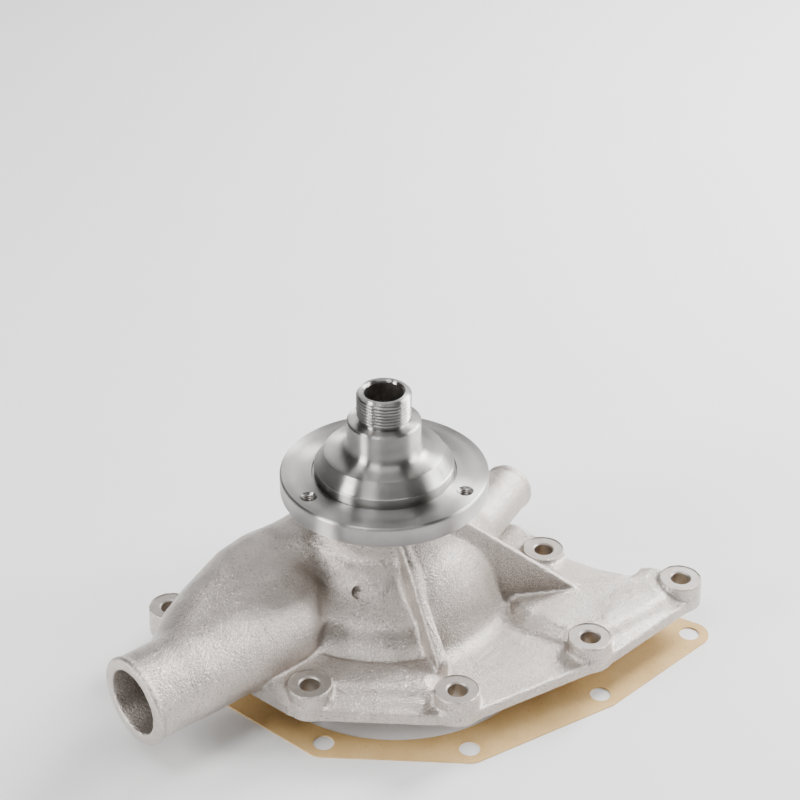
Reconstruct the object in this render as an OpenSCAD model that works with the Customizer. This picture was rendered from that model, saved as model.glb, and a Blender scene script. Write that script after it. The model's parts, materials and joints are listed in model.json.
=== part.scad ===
// Engine water pump: a cast housing with a curved inlet duct and a heater spigot, a turned
// fan and pulley hub on a shaft that runs in a double-row bearing, a face seal and an impeller,
// and the paper gasket that lies loose below the pump.
// Origin: on the shaft's axis, in the plane of the gasket face. Z points to the hub's nose.

/* [Mounting flange] */
// Thickness of the flange plate
plate_t = 5; // [4:0.5:7]
// Height of the bolt bosses above the gasket face
boss_h = 12; // [10:0.5:14]
// Radius of a bolt boss, and of the flange round it
boss_r = 9.3; // [8.5:0.1:10.5]
// Radius of a bolt hole, for a 5/16 inch bolt
bolt_hole_r = 4.3; // [4.1:0.05:4.6]
// Distance between the two holes of the front pair, and of the back pair
bolt_span_x = 62; // [58:0.5:66]
// Distance between the front pair and the back pair
bolt_span_y = 137.4; // [136:0.2:140]
// Place of the middle of these four holes, to the right of the shaft
bolt_mid_x = 4.5; // [0:0.5:8]
// Place of the middle of the round opening, in front of the shaft
opening_front = 9.7; // [8:0.1:11]
// Hole at the wing's front edge
wing_hole = [91.9, -39.9]; // [-100:0.1:100]
// Hole at the wing's far tip
tip_hole = [134.1, 5]; // [-140:0.1:140]
// Hole beside the heater spigot
heater_hole = [72.2, 23.8]; // [-100:0.1:100]
// Hole in the lug beside the inlet
lug_hole = [-93.5, -29]; // [-100:0.1:100]
// Hole in the plate at the back left, which has no raised boss
back_hole = [-58.7, 35]; // [-100:0.1:100]
// Outer radius of the flange ring
rim_r = 77; // [76:0.5:79]
// Radius of the opening inside the gasket land
land_r = 65.4; // [64:0.2:66]
// Depth of the recess inside the gasket land
recess = 1.5; // [1:0.25:2.5]

/* [Casting] */
// Height of the casting's nose, where the hub's flange runs past it
nose_h = 57; // [55:0.5:58.5]
// Radius of the nose
nose_r = 29; // [27:0.5:31]
// Radius of the round body below the nose
drum_r = 51; // [49:0.5:54]
// Height of the round body's front shoulder
drum_h = 24; // [22:0.5:27]
// Thickness of the cast walls
wall = 4.5; // [3.5:0.5:5.5]
// Thickness of the straight ribs
rib_t = 4; // [3:0.5:6]

/* [Inlet duct] */
// Outer radius of the inlet spigot, for a 38 mm hose
inlet_r = 19; // [18:0.5:20]
// Radius of the inlet's bore
inlet_bore_r = 14.25; // [13:0.25:15]
// Direction of the inlet, seen from above
inlet_turn = 44.7; // [40:0.1:50]
// Distance of the inlet's mouth from the shaft
inlet_reach = 141.7; // [135:0.1:145]
// Height of the inlet's axis above the gasket face
inlet_z = 20; // [19.8:0.1:22]

/* [Heater spigot] */
// Outer radius of the heater spigot
heater_r = 11.4; // [10.5:0.1:12]
// Radius of the heater spigot's bore
heater_bore_r = 8.7; // [7.5:0.1:9]
// Direction of the heater spigot, seen from above
heater_turn = 66; // [62:1:70]
// Distance of the spigot's mouth from the shaft, along the spigot
heater_reach = 75; // [70:0.5:80]
// Height of the spigot's axis
heater_z = 24; // [22:0.5:28]

/* [Hub] */
// Radius of the hub's flange
hub_r = 46; // [44:0.5:48]
// Height of the flange's front face
hub_face_z = 69.4; // [68.8:0.1:72]
// Thickness of the flange
hub_flange_t = 9.4; // [8.6:0.1:10]
// Radius of the pilot that centres a pulley
pilot_r = 30.8; // [29:0.1:32]
// Radius of the neck below the threaded nose
neck_r = 16.2; // [15:0.1:17]
// Height of the whole hub above its flange face
hub_top = 40.1; // [38:0.1:42]
// Length of the threaded nose
thread_l = 13.9; // [12:0.1:15]
// Radius of the threaded nose, an M24 thread
thread_r = 12; // [11.5:0.1:12.5]
// Radius of the circle of the three pulley bolts
pulley_bolt_circle_r = 39; // [37.5:0.5:40]
// Radius of a pulley bolt's tapped hole
pulley_bolt_r = 2.5; // [2.1:0.1:2.6]

/* [Shaft and bearing] */
// Radius of the shaft, 5/8 inch
shaft_r = 7.94; // [7.9:0.01:8]
// Outer radius of the bearing
bearing_r = 19.05; // [18.8:0.05:19.3]
// Lower end of the bearing
bearing_z0 = 20; // [19.5:0.25:21]
// Upper end of the bearing
bearing_z1 = 56; // [54:0.5:56.5]
// Number of balls in each row
balls = 7; // [5:1:7]

/* [Impeller and gasket] */
// How far the impeller stands out below the gasket face
impeller_drop = 16; // [15:0.5:17]
// Radius of the impeller
impeller_r = 43; // [40:0.5:44]
// Number of vanes
vanes = 6; // [4:1:8]
// Thickness of the paper gasket
gasket_t = 0.6; // [0.4:0.1:1]
// How far the loose gasket lies to the right of its seat
gasket_dx = 5.8; // [0:0.1:8]
// How far the loose gasket lies towards the front of its seat
gasket_dy = 5.4; // [0:0.1:8]

/* [Hidden] */
$fn = 96;
hull_fn = 32;             // facets round each ball of a hull
eps = 0.02;               // clearance of a press fit, each side
over = 1;                 // how far a cut runs past the faces it opens

// Bolt holes, anticlockwise from the front left
front_left = [bolt_mid_x - bolt_span_x / 2, -opening_front - bolt_span_y / 2];
front_right = [bolt_mid_x + bolt_span_x / 2, -opening_front - bolt_span_y / 2];
back_right = [bolt_mid_x + bolt_span_x / 2, bolt_span_y / 2 - opening_front];
back_left = [bolt_mid_x - bolt_span_x / 2, bolt_span_y / 2 - opening_front];
boss_holes = [front_left, front_right, wing_hole, tip_hole, heater_hole, back_right,
              back_left, lug_hole];
bolt_holes = concat(boss_holes, [back_hole]);

// Notch between the wing's tip and the hole beside the heater spigot
wing_notch = [[121, 21.5], [114, 12.6], [98, 17], [85, 22.5]];

// Upright ribs: direction seen from above, and place beside the shaft
front_rib_turn = -61.3;
front_rib_y = -5.2;
wing_rib_turn = 13.4;
wing_rib_y = -21.5;
pad_h = 10.5;             // height of the flange's raised pads

// High side of the round body: where it starts, how far round it goes, and its height
high_turn = -60;
high_angle = 240;
high_z = 47;

// Wet chamber
throat_r = 37;            // radius of the opening round the impeller's eye
core_r = 23;              // radius of the column that holds the bearing and the seal
roof_z = recess + wall;   // height of the chamber's floor, above the impeller
duct_y = -6;              // place of the inlet's axis beside the shaft
spigot_l = 34;            // length of the inlet spigot outside the duct
// Balls that the hood at the left of the shaft is stretched over: x, y, z and radius
hood_balls = [[-70, -28, 20, 20], [-64, -10, 19.5, 19.5], [-50, 0, 21, 20], [-28, 14, 24, 22],
              [-20, -8, 27, 20]];
heater_y = -27.6;         // place of the heater spigot's axis beside the shaft
heater_spigot_x = 52;     // where the heater spigot is clear of the casting

// Bearing, seal and impeller heights
chamber_z = 14.6;         // floor of the slinger's space
chamber_r = 15.5;
weep_turn = -105;         // direction of the weep hole, seen from above
weep_tilt = 58;           // its angle to the shaft
weep_r = 2.5;
seal_bore_r = 18.25;
seal_face_z = 2.6;        // face of the casting that the seal's flange lies on
running_z = -0.4;         // plane where the carbon ring runs on the ceramic seat
case_t = 0.8;             // sheet thickness of the seal's case
row_z = [29, 47];         // middle of each row of balls
ball_r = 3.97;
ball_circle_r = 11.45;
race_gap = 0.08;          // clearance between ball and raceway
ring_in_r = 15;           // inner radius of the bearing's outer ring
lip_seal_t = 3;
lip_gap = 0.08;           // running clearance of a lip on the shaft
disc_t = 3;
vane_t = 3;
vane_in_r = 19;
vane_curve_r = 31;        // radius of a vane's sweep
vane_top = 0.5;           // height of the vanes' edges above the gasket face
seat_r = 14.5;
seat_cup_r = 15.5;
spring_turns = 3.5;
spring_steps = 20;        // rings of the spring's wire per turn
spring_sides = 8;         // sides of the spring's wire
spring_coil_r = 16;
spring_wire_r = 0.7;
spring_z0 = 6.45;
spring_z1 = 12.85;
shaft_z0 = -impeller_drop + 1.4;
shaft_z1 = 88;
hub_z0 = hub_face_z - hub_flange_t;
groove_w = 1.2;           // width of the groove round the pilot
pulley_bolt_turn = 97.2;  // direction of the first pulley bolt

// Angle of the outward normal of the line that touches two circles of equal radius
function side(a, b) = atan2(b[1] - a[1], b[0] - a[0]) - 90;
function off(p, r, ang) = [p[0] + r * cos(ang), p[1] + r * sin(ang)];
// Straight edge between two circles, just inside the line that touches both
function edge(a, b, r) = [off(a, r - 0.06, side(a, b)), off(b, r - 0.06, side(a, b))];

module ring(r1, r0, h, z = 0)
    translate([0, 0, z]) difference() {
        cylinder(h = h, r = r1);
        translate([0, 0, -over]) cylinder(h = h + 2 * over, r = r0);
    }

// ---- flange and gasket outline -------------------------------------------------------

module flange_outline(r) {
    translate([0, -opening_front]) circle(r = rim_r - boss_r + r);
    // Straight front edges, round the front pair of bolts and the wing
    polygon(concat(edge(lug_hole, front_left, r), edge(front_left, front_right, r),
                   edge(front_right, wing_hole, r), edge(wing_hole, tip_hole, r),
                   [[136, 5 + r]], wing_notch, [heater_hole],
                   edge(heater_hole, back_right, r), [[0, 0]]));
    polygon(concat(edge(back_left, back_hole, r), edge(back_hole, lug_hole, r), [[0, 0]]));
    bolt_circles(bolt_holes, r);
}

module bolt_circles(holes, r) for (p = holes) translate(p) circle(r = r);

module land_opening(r)
    difference() {
        translate([0, -opening_front]) circle(r = r);
        translate(heater_hole) circle(r = boss_r);
    }

// Raised pads of the flange, in front of the round body and round the wing's bolts
module front_pad() polygon([[-41, -74], [-24, -50], [20, -50], [24, -60], [24, -77], [-36, -77]]);
module wing_pad() polygon([[40, 5], [60, -21], [85, -38], [97, -37], [132, 1], [131, 12],
    [121, 15], [112, 9], [97, 12], [78, 26], [62, 43], [40, 43]]);

// ---- casting -------------------------------------------------------------------------

// Places a shape along the inlet's axis: X runs from the mouth towards the shaft
module on_inlet() rotate([0, 0, inlet_turn]) translate([0, duct_y, inlet_z]) children();
module on_heater() rotate([0, 0, heater_turn]) translate([0, heater_y, heater_z]) children();
module bar(x0, x1, r) translate([x0, 0, 0]) rotate([0, 90, 0]) cylinder(h = x1 - x0, r = r);

// Duct that widens from the spigot into the hood at the left of the shaft
module duct(shrink) hull() {
    on_inlet() bar(spigot_l - inlet_reach, spigot_l + 2 - inlet_reach, inlet_r + 0.2 - shrink,
                   $fn = hull_fn);
    for (b = hood_balls) translate([b[0], b[1], b[2]]) sphere(r = b[3] - shrink, $fn = hull_fn);
}

// Round body, higher at the back and right than at the front left
module drum(shrink) {
    rotate_extrude() polygon([[0, 0], [drum_r + 3 - shrink, 0], [drum_r + 3 - shrink, plate_t],
        [drum_r - shrink, plate_t + 4], [drum_r - 1 - shrink, drum_h - 4 - shrink],
        [drum_r - 5 - shrink, drum_h - shrink], [0, drum_h - shrink]]);
    rotate([0, 0, high_turn]) rotate_extrude(angle = high_angle) polygon([[0, 0],
        [drum_r - shrink, 0], [drum_r - shrink, 22], [drum_r - 6 - shrink, 36 - shrink],
        [drum_r - 12 - shrink, 43 - shrink], [nose_r + 2 - shrink, high_z - shrink],
        [0, high_z - shrink]]);
}

// Thin upright web from the nose down to the flange, in the plane of a given direction
module web(turn, y, t, points)
    rotate([0, 0, turn]) translate([0, y + t / 2, 0]) rotate([90, 0, 0])
        linear_extrude(t) polygon(points);

module casting_outside() {
    linear_extrude(plate_t) flange_outline(boss_r);
    linear_extrude(boss_h) bolt_circles(boss_holes, boss_r);
    linear_extrude(pad_h) front_pad();
    linear_extrude(pad_h) wing_pad();
    drum(0);
    duct(0);
    cylinder(h = nose_h, r = nose_r);
    on_inlet() bar(-inlet_reach, spigot_l + 1 - inlet_reach, inlet_r);
    on_heater() bar(20, heater_spigot_x, heater_r + 0.3);
    on_heater() bar(heater_spigot_x - over, heater_reach, heater_r);
    web(front_rib_turn, front_rib_y, rib_t, [[24, 2], [71, 2], [71, pad_h], [24, 56]]);
    web(wing_rib_turn, wing_rib_y, rib_t,
        [[15, 2], [84, 2], [84, pad_h - 1], [28, nose_h - 1], [15, nose_h - 1]]);
}

// Space for the coolant, from the inlet down to the impeller's eye
module wet_space() {
    difference() {
        union() {
            drum(wall);
            duct(wall);
        }
        cylinder(h = nose_h, r = core_r);
        translate([-rim_r * 2, -rim_r * 2, -over]) cube([rim_r * 4, rim_r * 4, roof_z + over]);
    }
    ring(throat_r, core_r, roof_z + 2);
    on_inlet() bar(-inlet_reach - over, 50 - inlet_reach, inlet_bore_r);
    on_heater() bar(24, heater_reach + over, heater_bore_r);
}

module weep_hole()
    rotate([0, 0, weep_turn]) translate([chamber_r - 3, 0, chamber_z - 1.4])
        rotate([0, weep_tilt, 0]) cylinder(h = 40, r = weep_r);

module housing() color("silver") difference() {
    casting_outside();
    wet_space();
    // Recess inside the gasket land
    translate([0, 0, -over]) linear_extrude(recess + over) land_opening(land_r);
    // Bearing bore, the slinger's space with its weep hole, and the seal's bore
    translate([0, 0, bearing_z0]) cylinder(h = nose_h, r = bearing_r + eps);
    translate([0, 0, chamber_z - over]) cylinder(h = bearing_z0, r = chamber_r);
    translate([0, 0, -over]) cylinder(h = chamber_z + over, r = seal_bore_r + eps);
    translate([0, 0, -over]) cylinder(h = seal_face_z + over, r = core_r + over);
    weep_hole();
    for (p = bolt_holes)
        translate([p[0], p[1], -over]) cylinder(h = boss_h + 2 * over, r = bolt_hole_r);
}

// ---- gasket --------------------------------------------------------------------------

module gasket() color("burlywood")
    translate([gasket_dx, -gasket_dy, -impeller_drop]) linear_extrude(gasket_t) difference() {
        flange_outline(boss_r - 0.5);
        land_opening(land_r);
        bolt_circles(bolt_holes, bolt_hole_r + 0.3);
    }

// ---- hub, shaft and bearing ----------------------------------------------------------

module hub() color("gainsboro") difference() {
    translate([0, 0, hub_face_z]) union() {
        rotate_extrude() polygon([
            [shaft_r + eps, -hub_flange_t], [hub_r - 0.6, -hub_flange_t], [hub_r, 0.6 - hub_flange_t],
            [hub_r, -0.8], [hub_r - 0.8, 0], [pilot_r + groove_w, 0], [pilot_r + groove_w, -1.2],
            [pilot_r, -1.2], [pilot_r, 4.1], [26.2, 9.9], [22.4, 11.4], [19.6, 13.6], [17.6, 16.8],
            [neck_r + 0.3, 20], [neck_r, 22], [neck_r, hub_top - thread_l - 0.8],
            [neck_r - 0.8, hub_top - thread_l], [shaft_r + eps, hub_top - thread_l]]);
        rotate_extrude() polygon([
            [shaft_r + eps, hub_top - thread_l - 1], [thread_r - 1, hub_top - thread_l - 1],
            [thread_r - 1, hub_top - thread_l + 1.5], [thread_r, hub_top - thread_l + 2.4],
            [thread_r, hub_top - 1.2], [thread_r - 1.2, hub_top], [shaft_r + eps, hub_top]]);
    }
    for (i = [0:2]) rotate([0, 0, pulley_bolt_turn + 120 * i])
        translate([pulley_bolt_circle_r, 0, hub_z0 - over])
            cylinder(h = hub_flange_t + 2 * over, r = pulley_bolt_r);
}

// Groove that a row of balls runs in
module raceway(z) translate([0, 0, z]) rotate_extrude()
    translate([ball_circle_r, 0]) circle(r = ball_r + race_gap);

module shaft() color("lightgray") difference() {
    rotate_extrude() polygon([[0, shaft_z0], [shaft_r - 0.8, shaft_z0], [shaft_r, shaft_z0 + 0.8],
        [shaft_r, shaft_z1 - 0.8], [shaft_r - 0.8, shaft_z1], [0, shaft_z1]]);
    for (z = row_z) raceway(z);
}

module bearing_outer_ring() color("darkgray") difference() {
    translate([0, 0, bearing_z0]) rotate_extrude() polygon([
        [ring_in_r, 0], [bearing_r - 0.6, 0], [bearing_r, 0.6],
        [bearing_r, bearing_z1 - bearing_z0 - 0.6], [bearing_r - 0.6, bearing_z1 - bearing_z0],
        [ring_in_r, bearing_z1 - bearing_z0]]);
    for (z = row_z) raceway(z);
}

module ball_row(z, r) for (i = [0:balls - 1]) rotate([0, 0, 360 / balls * i])
    translate([ball_circle_r, 0, z]) sphere(r = r, $fn = 48);

module ball_cage(z) difference() {
    ring(12.7, 10.2, 10.4, z - 5.2);
    ball_row(z, ball_r + 0.12);
}

module lip_seal(z) translate([0, 0, z]) rotate_extrude() polygon([
    [shaft_r + lip_gap, 1], [9.4, 0], [ring_in_r - eps, 0], [ring_in_r - eps, lip_seal_t],
    [9.4, lip_seal_t], [9.4, 1.6], [shaft_r + lip_gap, 1.8]]);

module front_balls() color("white") ball_row(row_z[1], ball_r);
module front_ball_cage() color("peru") ball_cage(row_z[1]);
module rear_balls() color("white") ball_row(row_z[0], ball_r);
module rear_ball_cage() color("peru") ball_cage(row_z[0]);
module front_bearing_seal() color("dimgray") lip_seal(bearing_z1 - 0.4 - lip_seal_t);
module rear_bearing_seal() color("dimgray") translate([0, 0, 2 * bearing_z0 + 0.4 + lip_seal_t])
    mirror([0, 0, 1]) lip_seal(bearing_z0);

// Disc on the shaft that throws a leak outwards, to the weep hole
module slinger() color("dimgray") translate([0, 0, chamber_z + 0.9]) rotate_extrude() polygon([
    [shaft_r + eps, 0], [10.5, 0], [13.4, 1.6], [13.4, 2.6], [10.5, 1.4], [10.5, 3.2],
    [shaft_r + eps, 3.2]]);

// ---- face seal -----------------------------------------------------------------------

// Brass case, pressed into the seal's bore from below, its flange on the casting
module seal_case() color("goldenrod") rotate_extrude() polygon([
    [seal_bore_r, seal_face_z], [core_r - 2, seal_face_z], [core_r - 2, seal_face_z - case_t],
    [seal_bore_r - case_t, seal_face_z - case_t], [seal_bore_r - case_t, chamber_z - 0.2 - case_t],
    [9.6, chamber_z - 0.2 - case_t], [9.6, chamber_z - 0.2], [seal_bore_r, chamber_z - 0.2]]);

// Rubber tube with one fold, from the case's floor down to the carbon ring
module seal_bellows() color("black") rotate_extrude() polygon([
    [9.8, 5.2], [12.4, 5.2], [12.4, 6.2], [11, 6.2], [11, 7.6], [13.2, 9], [13.2, 9.9], [11, 11.2],
    [11, 12.2], [15, 12.2], [15, 13.5], [9.8, 13.5], [9.8, 11], [12, 9.6], [12, 9.3], [9.8, 7.9]]);

function spring_point(i, k) =
    let (a = 360 * i / spring_steps, b = 360 * k / spring_sides,
         z = spring_z0 + (spring_z1 - spring_z0) * i / (spring_turns * spring_steps),
         r = spring_coil_r + spring_wire_r * cos(b))
    [r * cos(a), r * sin(a), z + spring_wire_r * sin(b)];

module seal_spring() color("lightsteelblue") {
    rings = spring_turns * spring_steps;
    polyhedron(
        points = [for (i = [0:rings], k = [0:spring_sides - 1]) spring_point(i, k)],
        faces = concat(
            [[for (k = [0:spring_sides - 1]) k]],
            [[for (k = [0:spring_sides - 1]) rings * spring_sides + spring_sides - 1 - k]],
            [for (i = [0:rings - 1], k = [0:spring_sides - 1])
                let (a = i * spring_sides + k, b = i * spring_sides + (k + 1) % spring_sides)
                [b, a, a + spring_sides, b + spring_sides]]));
}

// Ring that holds the bellows against the case's floor
module bellows_clamp_ring() color("goldenrod") ring(14.9, 13.7, 1.2, 10.9);

// Thin shell round the carbon ring, with the flange that the spring pushes on
module carbon_carrier() color("goldenrod") rotate_extrude() polygon([
    [13.3 + eps, 1.6], [13.9, 1.6], [13.9, 5], [17, 5], [17, 5.7], [13.3 + eps, 5.7]]);

module carbon_ring() color("dimgray") rotate_extrude() polygon([
    [9.8, running_z], [12.2, running_z], [12.2, 1.2], [13.3, 1.2], [13.3, 5.1], [9.8, 5.1]]);

module ceramic_seat() color("ivory") ring(seat_r, 8.8, running_z + 5.4, -5.4);

// Rubber cup that holds the ceramic seat in the impeller
module seat_cup() color("black") rotate_extrude() polygon([
    [8.8, -6.5], [seat_cup_r - eps, -6.5], [seat_cup_r - eps, -1.2], [seat_r + eps, -1.2],
    [seat_r + eps, -5.42], [8.8, -5.42]]);

// ---- impeller ------------------------------------------------------------------------

// Swept-back vane: part of a round wall from the hub's edge out to the rim
module vane() intersection() {
    translate([0, -vane_curve_r, disc_t - impeller_drop - 0.5])
        ring(vane_curve_r + vane_t / 2, vane_curve_r - vane_t / 2,
             impeller_drop - disc_t + 0.5 + vane_top);
    translate([0, 0, -impeller_drop]) intersection() {
        ring(impeller_r - 0.5, vane_in_r - 3, impeller_drop + over);
        translate([0, -impeller_r, 0]) cube([impeller_r, impeller_r * 2, impeller_drop + over]);
    }
}

module impeller() color("gray") difference() {
    union() {
        translate([0, 0, -impeller_drop]) cylinder(h = disc_t, r = impeller_r);
        translate([0, 0, -impeller_drop]) cylinder(h = impeller_drop - 1, r = vane_in_r - 1);
        for (i = [0:vanes - 1]) rotate([0, 0, 360 / vanes * i]) vane();
    }
    translate([0, 0, -impeller_drop - over]) cylinder(h = impeller_drop + over, r = shaft_r + eps);
    translate([0, 0, -6.5]) cylinder(h = 6.5, r = seat_cup_r);
}

housing();
gasket();
hub();
shaft();
bearing_outer_ring();
front_balls();
front_ball_cage();
rear_balls();
rear_ball_cage();
front_bearing_seal();
rear_bearing_seal();
slinger();
seal_case();
seal_bellows();
seal_spring();
bellows_clamp_ring();
carbon_carrier();
carbon_ring();
ceramic_seat();
seat_cup();
impeller();
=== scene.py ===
import json
import math

import bpy
import numpy as np
from mathutils import Matrix, Vector


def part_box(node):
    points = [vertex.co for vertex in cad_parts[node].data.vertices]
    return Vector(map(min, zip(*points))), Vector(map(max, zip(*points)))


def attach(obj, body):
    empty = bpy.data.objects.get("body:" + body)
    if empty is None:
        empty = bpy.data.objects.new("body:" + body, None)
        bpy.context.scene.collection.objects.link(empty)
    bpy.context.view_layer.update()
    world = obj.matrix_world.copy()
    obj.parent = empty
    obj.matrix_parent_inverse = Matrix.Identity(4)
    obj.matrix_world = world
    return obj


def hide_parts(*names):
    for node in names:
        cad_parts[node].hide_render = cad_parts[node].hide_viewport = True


# Engine water pump: the looks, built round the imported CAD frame.
#
# Lengths inside the shape code are in millimetres, in the CAD's own frame: the shaft's axis is Z, and Z is 0
# at the gasket face. They become metres when a mesh is made. The last number of each smooth_min and
# smooth_max is the radius of the fillet, in mm.

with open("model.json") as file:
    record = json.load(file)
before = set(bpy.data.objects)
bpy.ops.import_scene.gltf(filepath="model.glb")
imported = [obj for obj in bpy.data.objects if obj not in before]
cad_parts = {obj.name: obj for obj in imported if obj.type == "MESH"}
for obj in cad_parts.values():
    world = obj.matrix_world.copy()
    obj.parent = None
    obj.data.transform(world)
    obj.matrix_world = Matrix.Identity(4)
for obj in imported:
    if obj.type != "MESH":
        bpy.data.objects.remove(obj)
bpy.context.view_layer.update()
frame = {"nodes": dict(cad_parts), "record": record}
MM = 0.001
mounts = {m["name"]: m for m in frame["record"]["mounts"]}


def mount_mm(name):
    """A mount's place, in mm."""
    return [1000 * v for v in mounts[name]["pos_m"]]


def box_mm(node):
    """A node's lowest and highest corners, in mm."""
    return [[1000 * v for v in corner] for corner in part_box(node)]


def along(turn, x, y):
    """x and y seen from a frame turned about Z: distance along the direction turn, and to its left."""
    c, s = math.cos(turn), math.sin(turn)
    return x * c + y * s, y * c - x * s


# ---- sizes, from the frame ---------------------------------------------------------------------------------

floor_z = box_mm("impeller")[0][2]
nose_top = box_mm("housing")[1][2]
bearing_r = box_mm("bearing_outer_ring")[1][0]
bearing_foot = box_mm("bearing_outer_ring")[0][2]
seal_r = 18.25
chamber_r = 15.5                        # space between the bearing and the seal
hub_face = mount_mm("pulley_face")[2]
hub_foot, hub_top = [corner[2] for corner in box_mm("hub")]
hub_r = box_mm("hub")[1][0]
pilot_r = mounts["pulley_pilot"]["dims"]["r_mm"]
thread_r = mounts["fan_thread"]["dims"]["r_mm"]
shaft_r = 7.96
press_fit = 0.02                        # clearance of a pressed piece in its bore

boss_r = 9.3
bolt_r = mounts["engine_bolts"]["dims"]["hole_r_mm"]
half_x = mounts["engine_bolts"]["dims"]["spacing_x_mm"] / 2
half_y = mounts["engine_bolts"]["dims"]["spacing_y_mm"] / 2
mid_x, mid_y, boss_top = mount_mm("engine_bolts")
front_left = (mid_x - half_x, mid_y - half_y)
front_right = (mid_x + half_x, mid_y - half_y)
back_right = (mid_x + half_x, mid_y + half_y)
back_left = (mid_x - half_x, mid_y + half_y)
wing_bolt = tuple(mount_mm("wing_bolt")[:2])
tip_bolt = tuple(mount_mm("tip_bolt")[:2])
heater_bolt = (72.2, 23.8)
lug_bolt = (-93.5, -29.0)
plate_bolt = (-58.7, 35.0)
raised_bolts = [front_left, front_right, wing_bolt, tip_bolt, heater_bolt, back_right, back_left, lug_bolt]
opening_r = 65.4

inlet_turn = math.atan2(-mounts["inlet_spigot"]["axis"][1], -mounts["inlet_spigot"]["axis"][0])
inlet_r = mounts["inlet_spigot"]["dims"]["r_mm"]
inlet_x, inlet_y = along(inlet_turn, *mount_mm("inlet_spigot")[:2])
inlet_z = mount_mm("inlet_spigot")[2]
inlet_mouth = inlet_x - mounts["inlet_spigot"]["dims"]["length_mm"] / 2
heater_turn = math.atan2(mounts["heater_spigot"]["axis"][1], mounts["heater_spigot"]["axis"][0])
heater_r = mounts["heater_spigot"]["dims"]["r_mm"]
heater_x, heater_y = along(heater_turn, *mount_mm("heater_spigot")[:2])
heater_z = mount_mm("heater_spigot")[2]
heater_mouth = heater_x + mounts["heater_spigot"]["dims"]["length_mm"] / 2

# ---- distance fields ---------------------------------------------------------------------------------------


def smooth_min(a, b, k):
    """The lesser of two distances, with a fillet of about k mm where they cross."""
    h = np.clip(0.5 + 0.5 * (b - a) / k, 0, 1)
    return b + (a - b) * h - k * h * (1 - h)


def smooth_max(a, b, k):
    """The greater of two distances, with a fillet: what both shapes share."""
    return -smooth_min(-a, -b, k)


def ramp(v, a, b):
    """0 below a, 1 above b, smooth between."""
    t = np.clip((v - a) / (b - a), 0, 1)
    return t * t * (3 - 2 * t)


def polygon_distance(x, y, points):
    """Signed distance to a closed outline, negative inside."""
    best = None
    inside = False
    for (ax, ay), (bx, by) in zip(points, points[1:] + points[:1]):
        ex, ey = bx - ax, by - ay
        wx, wy = x - ax, y - ay
        t = np.clip((wx * ex + wy * ey) / (ex * ex + ey * ey), 0, 1)
        d = (wx - t * ex) ** 2 + (wy - t * ey) ** 2
        best = d if best is None else np.minimum(best, d)
        crosses = ((ay <= y) & (by > y)) | ((by <= y) & (ay > y))
        side = ex * wy - ey * wx
        inside = inside ^ (crosses & ((side > 0) == (by > ay)))
    return np.where(inside, -1.0, 1.0) * np.sqrt(best)


def tangent_edge(a, b, r):
    """The outer line that touches two circles of one radius, travelling anticlockwise."""
    turn = math.atan2(b[1] - a[1], b[0] - a[0]) - math.pi / 2
    dx, dy = r * math.cos(turn), r * math.sin(turn)
    return [(a[0] + dx, a[1] + dy), (b[0] + dx, b[1] + dy)]


def upright(x, y, centre, r):
    """Distance to an endless upright cylinder."""
    return np.hypot(x - centre[0], y - centre[1]) - r


# ---- the casting -------------------------------------------------------------------------------------------

plate_top = 4.9                         # top of the flange plate
pad_top = 10.6                          # top of its raised pads
wall = 4.5
recess = 1.5                            # depth of the opening inside the gasket land
ring_r = 77.0                           # round part of the flange
nose_r, nose_draft = 31.0, 0.035        # the nose at Z 0, and how much it narrows for each mm up
core_r = 23.0                           # solid metal round the bearing and the seal
low_room_r, low_room_top = 46.5, 19.0   # coolant's space inside the low round body
high_room_r = 49.0                      # and inside the high one
eye_r, eye_top = 37.0, 12.0             # way down to the impeller
inlet_bore_r = 14.25
heater_wall = 2.7
bead = 0.6                              # rim at the mouths of the spigots
casting_cell = 0.9                      # mesh size of the casting
front_rib_turn, front_rib_y = math.radians(-61.3), -5.2
wing_rib_turn, wing_rib_y = math.radians(13.4), -21.5

# Outlines of the raised pads and their sloping steps, seen from above
front_pad = [(-50.0, -64.0), (-52.5, -70.5), (-48.0, -74.3), (-36.5, -79.0), (-16.0, -76.6),
             (23.5, -76.2), (24.5, -62.0), (18.0, -48.0), (-25.0, -48.0)]
front_step = [(-19.0, -73.0), (-17.0, -81.8), (21.0, -82.0), (23.0, -73.0)]
wing_pad = [(44.0, 2.0), (59.0, -12.5), (60.5, -17.5), (65.0, -23.5), (81.6, -32.5), (96.0, -33.5),
            (104.0, -28.0), (126.0, -8.0), (131.0, 1.0), (131.0, 12.0), (121.0, 16.0), (112.0, 8.5),
            (97.0, 13.0), (84.0, 20.0), (76.0, 31.0), (66.0, 39.5), (60.0, 46.0), (40.0, 50.0)]
wing_slope = [(99.0, -26.0), (123.5, -6.5), (128.0, 2.0), (118.0, 4.0), (98.0, -12.0)]
trough_r = 61.6                         # where the front pad ends, in front of the drum
# Corner of the flange below the duct, and the notch between the wing's tip and the heater spigot
front_corner = [(-58.0, -67.0), (-51.8, -72.8), (-34.6, -85.2), (-31.5, -83.0)]
wing_notch = [(136.5, 14.3), (128.5, 19.2), (119.2, 22.8), (117.2, 22.0), (112.8, 13.0), (98.2, 17.2),
              (85.2, 23.4)]
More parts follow.
